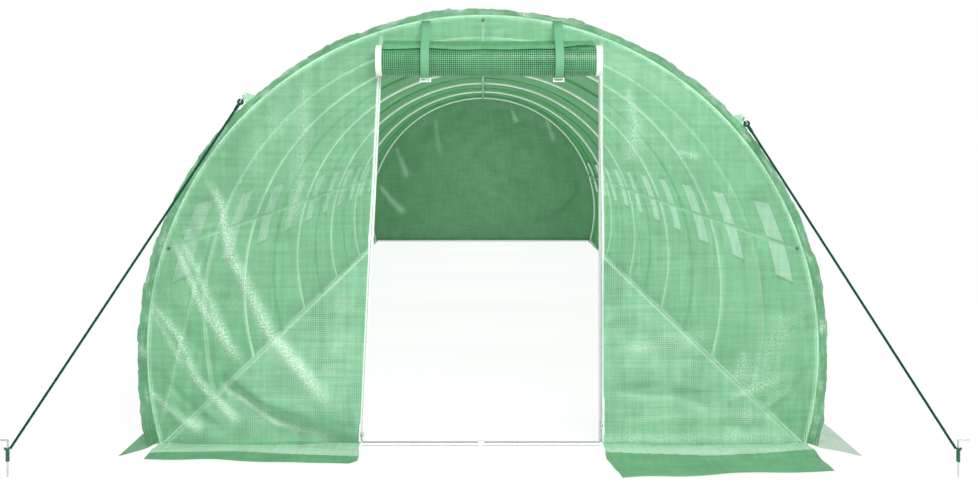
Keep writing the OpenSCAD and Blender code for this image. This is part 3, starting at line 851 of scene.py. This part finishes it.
def long_skirt(name, side, wide, mat, seed):
    # Flares from the foot of the cover; its free corners reach past both ends
    def point(u, t):
        y = t * (SKIRT_HALF + CORNER_REACH * u)
        run = u * wide * (1 + 0.06 * bumpy(y, 0.0, seed, 1.1))
        wave = 0.007 * (bumpy(y, run * 3, seed, 2.6) + 0.4) * smooth_step(0.02, 0.10, run)
        return (side * (SKIRT_X + run), y, lying(0.034 * math.exp(-run / 0.014), wave))

    return one_grid(name, mat, "skirt_film", steps(0, 1, 16), steps(-1, 1, 320), point,
                    lambda u, t: (u * wide, t * SKIRT_HALF))


side_l = long_skirt("long_skirt_left_film", -1, 0.122, FILM_RIM, 1.5)
side_r = long_skirt("long_skirt_right_film", 1, 0.184, FILM_HEM, 4.5)
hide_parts("left_skirt")
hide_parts("right_skirt")


def rear_skirt_point(x, v):
    run = v * REAR_REACH
    return (x, SKIRT_Y + run, lying(0.040 * math.exp(-run / 0.020), ground_wave(x, run, 8.0)))


skirt_b = one_grid("rear_skirt_film", FILM_SKIRT, "skirt_film", steps(-1.412, 1.412, 140),
                   [0, 0.02, 0.04, 0.07] + steps(0.10, 1, 20), rear_skirt_point, lambda x, v: (x, v * 0.3))
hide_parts("rear_skirt")

# The rolled-up door: thin turns, soft and a little uneven, with white zip ends
TURNS = 6
ROLL_TURN = 2 * math.pi * TURNS
CORE_R = 0.018
ROLL_GAIN = ROLL_R - 0.020
ZIP_WIDE = 0.026
ZIP_GAP = 0.0004


def roll_sag(x):
    return 0.003 * math.sin((x + 0.45) * math.pi)


def roll_spiral(swell):
    def point(t, x):
        soft = 0.035 * bumpy(math.cos(t) * 0.6, x * 5, math.sin(t) * 0.6, 2.0)
        soft += 0.012 * bumpy(math.cos(t), x * 18, math.sin(t), 2.0)
        r = (CORE_R + ROLL_GAIN * t / ROLL_TURN) * (1 + swell * soft)
        a = t - ROLL_TURN
        return (x, min(ROLL_Y + r * math.cos(a), -WALL_Y - 0.002), ROLL_Z + r * math.sin(a) - roll_sag(x))
    return point


def roll_uv(t, x):
    # Across the film, and the length of film in the roll up to a turn of t
    return (x, CORE_R * t + ROLL_GAIN * t * t / (2 * ROLL_TURN))


TURN_STEPS = steps(0, ROLL_TURN, 30 * TURNS)
roll = one_grid("door_rolled_film", FILM_ROLL, "door_film", TURN_STEPS, steps(ROLL_START, ROLL_END, 70),
                roll_spiral(1.0), roll_uv)
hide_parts("door_roll")
build = Build()
build.grid(TURN_STEPS, steps(ROLL_START - ZIP_WIDE, ROLL_START - ZIP_GAP, 4), roll_spiral(0.6), roll_uv)
build.grid(TURN_STEPS, steps(ROLL_END + ZIP_GAP, ROLL_END + ZIP_WIDE, 4), roll_spiral(0.6), roll_uv)
zip_ends = build.done("door_roll_zip_bands", ZIP, "zip_tape")
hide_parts("door_roll_zip_ends")

# Hem of the header: from the wall over the top of the roll
HEM_R = 0.0716
HEM_LONG = 0.145
HEM_RISE = 0.3


def hem_point(x, s):
    reach = math.radians(140 - 22 * smooth_step(0.28, 0.44, x) + 7 * bumpy(x, 1.0, 2.0, 6.0))
    rise = Vector((-WALL_Y - 0.003, ROLL_Z + 0.090))
    top = Vector((ROLL_Y, ROLL_Z + HEM_R))
    if s < HEM_RISE:
        p = rise + (top - rise) * (s / HEM_RISE)
    else:
        b = math.pi / 2 + (reach - math.pi / 2) * (s - HEM_RISE) / (1 - HEM_RISE)
        p = Vector((ROLL_Y + HEM_R * math.cos(b), ROLL_Z + HEM_R * math.sin(b)))
    return (x, p.x, p.y - roll_sag(x))


hem = one_grid("door_header_hem", FILM_HEADER, "door_film", steps(ROLL_START + 0.004, ROLL_END - 0.004, 80),
               steps(0, 1, 20), hem_point, lambda x, s: (x, HEM_LONG * s))

# Straps over the roll, with buckles below
STRAP_PLACES = (-0.247, 0.325)
STRAP_HALF = 0.019
STRAP_THICK = 0.0018
STRAP_TOP = 1.853


def strap_path():
    # From its seam straight to the roll and then round it
    top = Vector((-WALL_Y - 0.0045, STRAP_TOP))
    centre, r = Vector((ROLL_Y, ROLL_Z)), ROLL_R + 0.0035
    off = top - centre
    bearing = math.atan2(off.y, off.x) + math.acos(r / off.length)
    touch = centre + Vector((r * math.cos(bearing), r * math.sin(bearing)))
    straight = [top + (touch - top) * t for t in (0, 0.33, 0.66)]
    return straight + [centre + r * Vector((math.cos(b), math.sin(b)))
                       for b in steps(bearing, math.radians(292), 26)]


STRAP_PATH = strap_path()
build = Build()
for middle in STRAP_PLACES:
    build.grid(steps(-STRAP_HALF, STRAP_HALF, 6), list(range(len(STRAP_PATH))),
               lambda u, i: (middle + u, *STRAP_PATH[int(i)]), lambda u, i: (u, i * 0.012))
straps = build.done("door_straps", STRAP, "webbing")
thick = straps.modifiers.new("thickness", "SOLIDIFY")
thick.thickness = STRAP_THICK
thick.offset = 0.0
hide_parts("door_tie_straps")

# Zips down both sides of the doorway, with their sliders near the bottom
ZIP_TOP = HEADER_Z - 0.05
band, row = Build(), Build()
for edge, side in ((left_edge, 1), (right_edge, -1)):
    band.grid(steps(-0.004, 0.0065, 4), steps(0.022, ZIP_TOP, 70),
              lambda u, z: (edge(z) + side * u, -WALL_Y - 0.0065, z), lambda u, z: (u, z))
    row.tube([(edge(z) + side * 0.007, -WALL_Y - 0.007, z) for z in steps(0.024, ZIP_TOP, 60)], 0.0016, 6)
zips = band.done("doorway_zips", ZIP, "zip_tape")
teeth = row.done("doorway_zip_teeth", STEEL, "zip_tape")
build = Build()
for edge, side, z in ((left_edge, 1, 0.046), (right_edge, -1, 0.090)):
    x = edge(z) + side * 0.010
    build.tube([(x, -WALL_Y - 0.008, z + 0.016), (x, -WALL_Y - 0.009, z)], 0.007, 10)
    build.tube([(x, -WALL_Y - 0.012, z), (x + side * 0.002, -WALL_Y - 0.012, z - 0.020)], 0.003, 8)
sliders = build.done("doorway_zip_sliders", STEEL, "zip_tape")

# Ropes: three twisted strands, an eye round the ring and turns round the peg
TWIST_LONG = 0.028
STRAND_R, STRAND_OFF = 0.0032, 0.0027
EYE_R = 0.0098
HITCH_IN, HITCH_Z = 0.0103, 0.112
WRAP_R, WRAP_PITCH = 0.0058, 0.0047


def unit(v):
    return v / v.length


def at_end(end, points):
    # Points worked out for the front, mirrored for the rear
    return [(p.x, p.y * end, p.z) for p in points]


def strand_points(start, span, across, other, phase):
    count = int(span.length / TWIST_LONG * 9)
    for t in steps(0, 1, count):
        a = 2 * math.pi * (t * span.length / TWIST_LONG + phase)
        yield start + span * t + STRAND_OFF * (math.cos(a) * across + math.sin(a) * other)


rope, wrap = Build(), Build()
for end in (1, -1):
    for side, angle in TABS:
        x, _, z = arch(COVER_OUT + TAB_HOLE, angle, 0)
        hole = Vector((side * x, -TAB_Y, z))
        hitch = Vector((side * (PEG_X - HITCH_IN), PEG_Y, HITCH_Z))
        pull = unit(hitch - hole)
        ring = hole + RING_R * unit(Vector((pull.x, 0, pull.z)))
        eye = ring + RING_R * pull
        start = eye + EYE_R * pull
        across = unit(Vector((-pull.x * pull.y, 1 - pull.y ** 2, -pull.z * pull.y)))
        other = pull.cross(across)
        for strand in range(3):
            points = strand_points(start, hitch - start, across, other, strand / 3)
            rope.tube(at_end(end, points), STRAND_R, 6)
        loop = [eye + EYE_R * (math.cos(a) * pull + math.sin(a) * other)
                for a in steps(0.05, 2 * math.pi, 26)]
        rope.tube(at_end(end, loop), 0.0052, 8)
        knot = [start + pull * t for t in (0.004, 0.010, 0.024, 0.034)]
        rope.tube(at_end(end, knot), lambda t: 0.0076 - 0.0014 * abs(t - 0.5), 10)
        peg = Vector((side * PEG_X, PEG_Y, 0))
        turn = math.pi if side > 0 else 0.0
        turns = []
        for a in steps(turn, turn + 23 * math.pi, 230):
            z = 0.114 - WRAP_PITCH * (a - turn) / (2 * math.pi)
            turns.append(peg + Vector((WRAP_R * math.cos(a), WRAP_R * math.sin(a), z)))
        wrap.tube(at_end(end, turns), 0.0023, 7)
        tail = [peg + Vector((side * (0.004 + 0.004 * t), -0.006 - 0.004 * t, 0.105 + 0.012 * t))
                for t in steps(0, 1, 6)]
        wrap.tube(at_end(end, tail), lambda t: 0.003 + 0.0015 * t, 8)
ropes = rope.done("guy_rope_strands", ROPE, "rope")
wrap.done("guy_rope_hitches", HITCH, "rope")
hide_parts("guy_ropes")

# Tabs: folded film, wide at the rim and narrow at the eyelet that holds the ring
TAB_ROOT = 1.4735
EYELET_R = 0.0052
HOLE_R = 0.004


def tab_half(v):
    return 0.034 - 0.024 * v


def in_hole(u, v):
    return (TAB_LONG * v - TAB_HOLE) ** 2 + (0.010 * u) ** 2 <= HOLE_R ** 2


tab, eyelet = Build(), Build()
for end in (1, -1):
    for side, angle in TABS:
        away = Vector((side * math.cos(angle), 0, math.sin(angle)))
        along = Vector((-side * math.sin(angle), 0, math.cos(angle)))
        root = Vector((0, 0, CENTRE)) + away * TAB_ROOT
        for face in (0.0022, -0.0012):
            shift = 0.0004 * len(tab.verts)

            def tab_point(u, v):
                p = root + away * (TAB_LONG * v) + along * (tab_half(v) * u + 0.010 * (1 - v))
                soft = 0.002 * bumpy(p.x, p.z, face * 900, 30.0) * (1 - v)
                return (p.x, -end * (TAB_Y + face + soft), p.z)

            tab.grid(steps(-1, 1, 12), steps(0, 1, 14), tab_point,
                     lambda u, v: (tab_half(v) * u + shift, TAB_LONG * v), lambda u, v: not in_hole(u, v))
        hole = root + away * TAB_HOLE
        for depth in (-0.0016, 0.0026):
            circle = [hole + EYELET_R * (math.cos(t) * away + math.sin(t) * along)
                      for t in steps(0, 2 * math.pi, 28)]
            eyelet.tube([(p.x, -end * (TAB_Y + depth), p.z) for p in circle], 0.0018, 8)
tabs = tab.done("guy_tab_film", FILM_WALL, "webbing")
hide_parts("guy_tabs")
eyelets = eyelet.done("guy_tab_eyelets", BUCKLE, "ring_steel")

# The ground bars: dark lines of painted shade along their tubes' edges, and the sleeve that joins the front
# one's halves in the doorway
build = Build()
for first, last in ((LEFT_FOOT + 0.006, -0.018), (0.002, RIGHT_FOOT - 0.006)):
    for y, z, r in ((-HALF - 0.0072, 0.0172, 0.0024), (-HALF - 0.0096, 0.0042, 0.0008)):
        build.tube([(x, y, z) for x in steps(first, last, 30)], r, 6)
build.tube([(x, HALF - 0.0075, 0.005) for x in steps(-1.36, 1.36, 40)], 0.003, 6)
build.done("ground_bar_shade_lines", BAR_SHADE, "frame_tube")
build = Build()
for first, last, r in ((-0.020, 0.004, 0.0112), (-0.022, -0.019, 0.012), (0.003, 0.006, 0.012)):
    build.tube([(x, -HALF, 0.0122) for x in steps(first, last, 3)], r, 24)
build.done("front_bar_sleeve", TUBE, "frame_tube")

# Dark plugs in the open ends of the long tubes
build = Build()
for end in (-1, 1):
    for x, z in TUBE_ENDS:
        build.tube([(x, end * (HALF + 0.0096), z), (x, end * (HALF + 0.0116), z)], 0.0086, 16)
build.done("tube_end_plugs", PLUG, "frame_tube", smooth=False)

# Bolts where purlins and ridge cross the hoops: a six-sided head on a washer
BOLT_R = END_R - TUBE_R
build = Build()
for y in HOOP_PLACES:
    for a in (PURLIN, math.pi / 2, math.pi - PURLIN):
        for height, r, corners in ((0.0045, 0.006, 6), (0.0012, 0.0085, 14)):
            build.tube([arch(BOLT_R - height, a, y), arch(BOLT_R + 0.001, a, y)], r, corners)
build.done("frame_bolts", STEEL, "ring_steel", smooth=False)


# Reads the flat map of each film piece's mesh, in metres, and does nothing with it
def cut(piece):
    flat = [tuple(d.uv) for d in piece.data.uv_layers["cloth"].data]


hoops = [f"hoop_{i}" for i in range(1, 7)]
cut(cover)
cut(nets)
cut(flaps)
cut(left_wall)
cut(right_wall)
cut(top_wall)
cut(tabs)
cut(roll)
cut(hem)
cut(rear)
cut(rims)
for skirt, holder in ((skirt_l, "front_panel_left"), (skirt_r, "front_panel_right"), (skirt_b, "rear_panel"),
                      (side_l, "cover_sheet"), (side_r, "cover_sheet")):
    cut(skirt)

# Materials of the solids that stay
white_tubes = hoops + ["left_ground_rail", "right_ground_rail", "front_ground_bar", "rear_ground_bar",
                       "left_door_post", "right_door_post"]
for mat, names in ((TUBE, white_tubes), (STEEL, ["guy_rings", "pegs"]), (BUCKLE, ["door_tie_buckles"]),
                   (TUBE_SHADED, ["ridge_pole", "left_purlin", "right_purlin"])):
    for name in names:
        nodes[name].data.materials.clear()
        nodes[name].data.materials.append(mat)

# Stage: a white floor, white surroundings and soft light from above
FLOOR_HALF = 60
FLOOR_Z = -0.0005
floor_mat, tree = new_material("floor")
diffuse = add(tree, "ShaderNodeBsdfDiffuse", Color=(0.12, 0.12, 0.12, 1))
shine = add(tree, "ShaderNodeEmission", Strength=0.92)
surface(tree, two_shaders(tree, "ShaderNodeAddShader", diffuse, shine))
mesh = bpy.data.meshes.new("floor")
corners = [(x * FLOOR_HALF, y * FLOOR_HALF, FLOOR_Z) for x, y in ((-1, -1), (1, -1), (1, 1), (-1, 1))]
mesh.from_pydata(corners, [], [(0, 1, 2, 3)])
mesh.materials.append(floor_mat)
floor = bpy.data.objects.new("floor", mesh)
bpy.context.scene.collection.objects.link(floor)

world = bpy.data.worlds.new("studio")
world.use_nodes = True
tree = world.node_tree
sky = tree.nodes["Background"]
sky.inputs["Color"].default_value = (1, 1, 1, 1)
seen = tree.nodes.new("ShaderNodeLightPath").outputs["Is Camera Ray"]
tree.links.new(ramp(tree, seen, (0.0, grey(0.62)), (1.0, grey(1.0))), sky.inputs["Strength"])
bpy.context.scene.world = world


def area_light(name, place, target, size, power, colour=(1, 1, 1), hidden=False):
    lamp = bpy.data.lights.new(name, "AREA")
    lamp.size = size
    lamp.energy = power
    lamp.color = colour
    obj = bpy.data.objects.new(name, lamp)
    obj.location = place
    obj.visible_camera = not hidden
    obj.rotation_euler = (Vector(target) - Vector(place)).to_track_quat("-Z", "Y").to_euler()
    bpy.context.scene.collection.objects.link(obj)


area_light("key", (2.2, -11.2, 4.7), (-0.6, -5.0, 0.7), 3.4, 440)

# One light in each bay stands for the daylight that the film scatters inside
for i, power in enumerate((7.8, 7.8, 7.8, 7.8, 6.2)):
    y = HOOP_PLACES[i] + 0.4
    area_light(f"inside_{i + 1}", (0, y, 0.95), (0, y + 1, 0.95), 1.1, power, (0.84, 1.0, 0.88), hidden=True)

camera = bpy.data.cameras.new("camera")
camera.sensor_width = 36.0
camera.lens = 42.14
camera.shift_x = 0.0062
camera.shift_y = -0.1055
eye = bpy.data.objects.new("camera", camera)
eye.location = (0.0, -10.0, 1.338)
eye.rotation_euler = (math.pi / 2, 0, 0)
bpy.context.scene.collection.objects.link(eye)
bpy.context.scene.camera = eye
bpy.context.scene.view_settings.view_transform = "Standard"
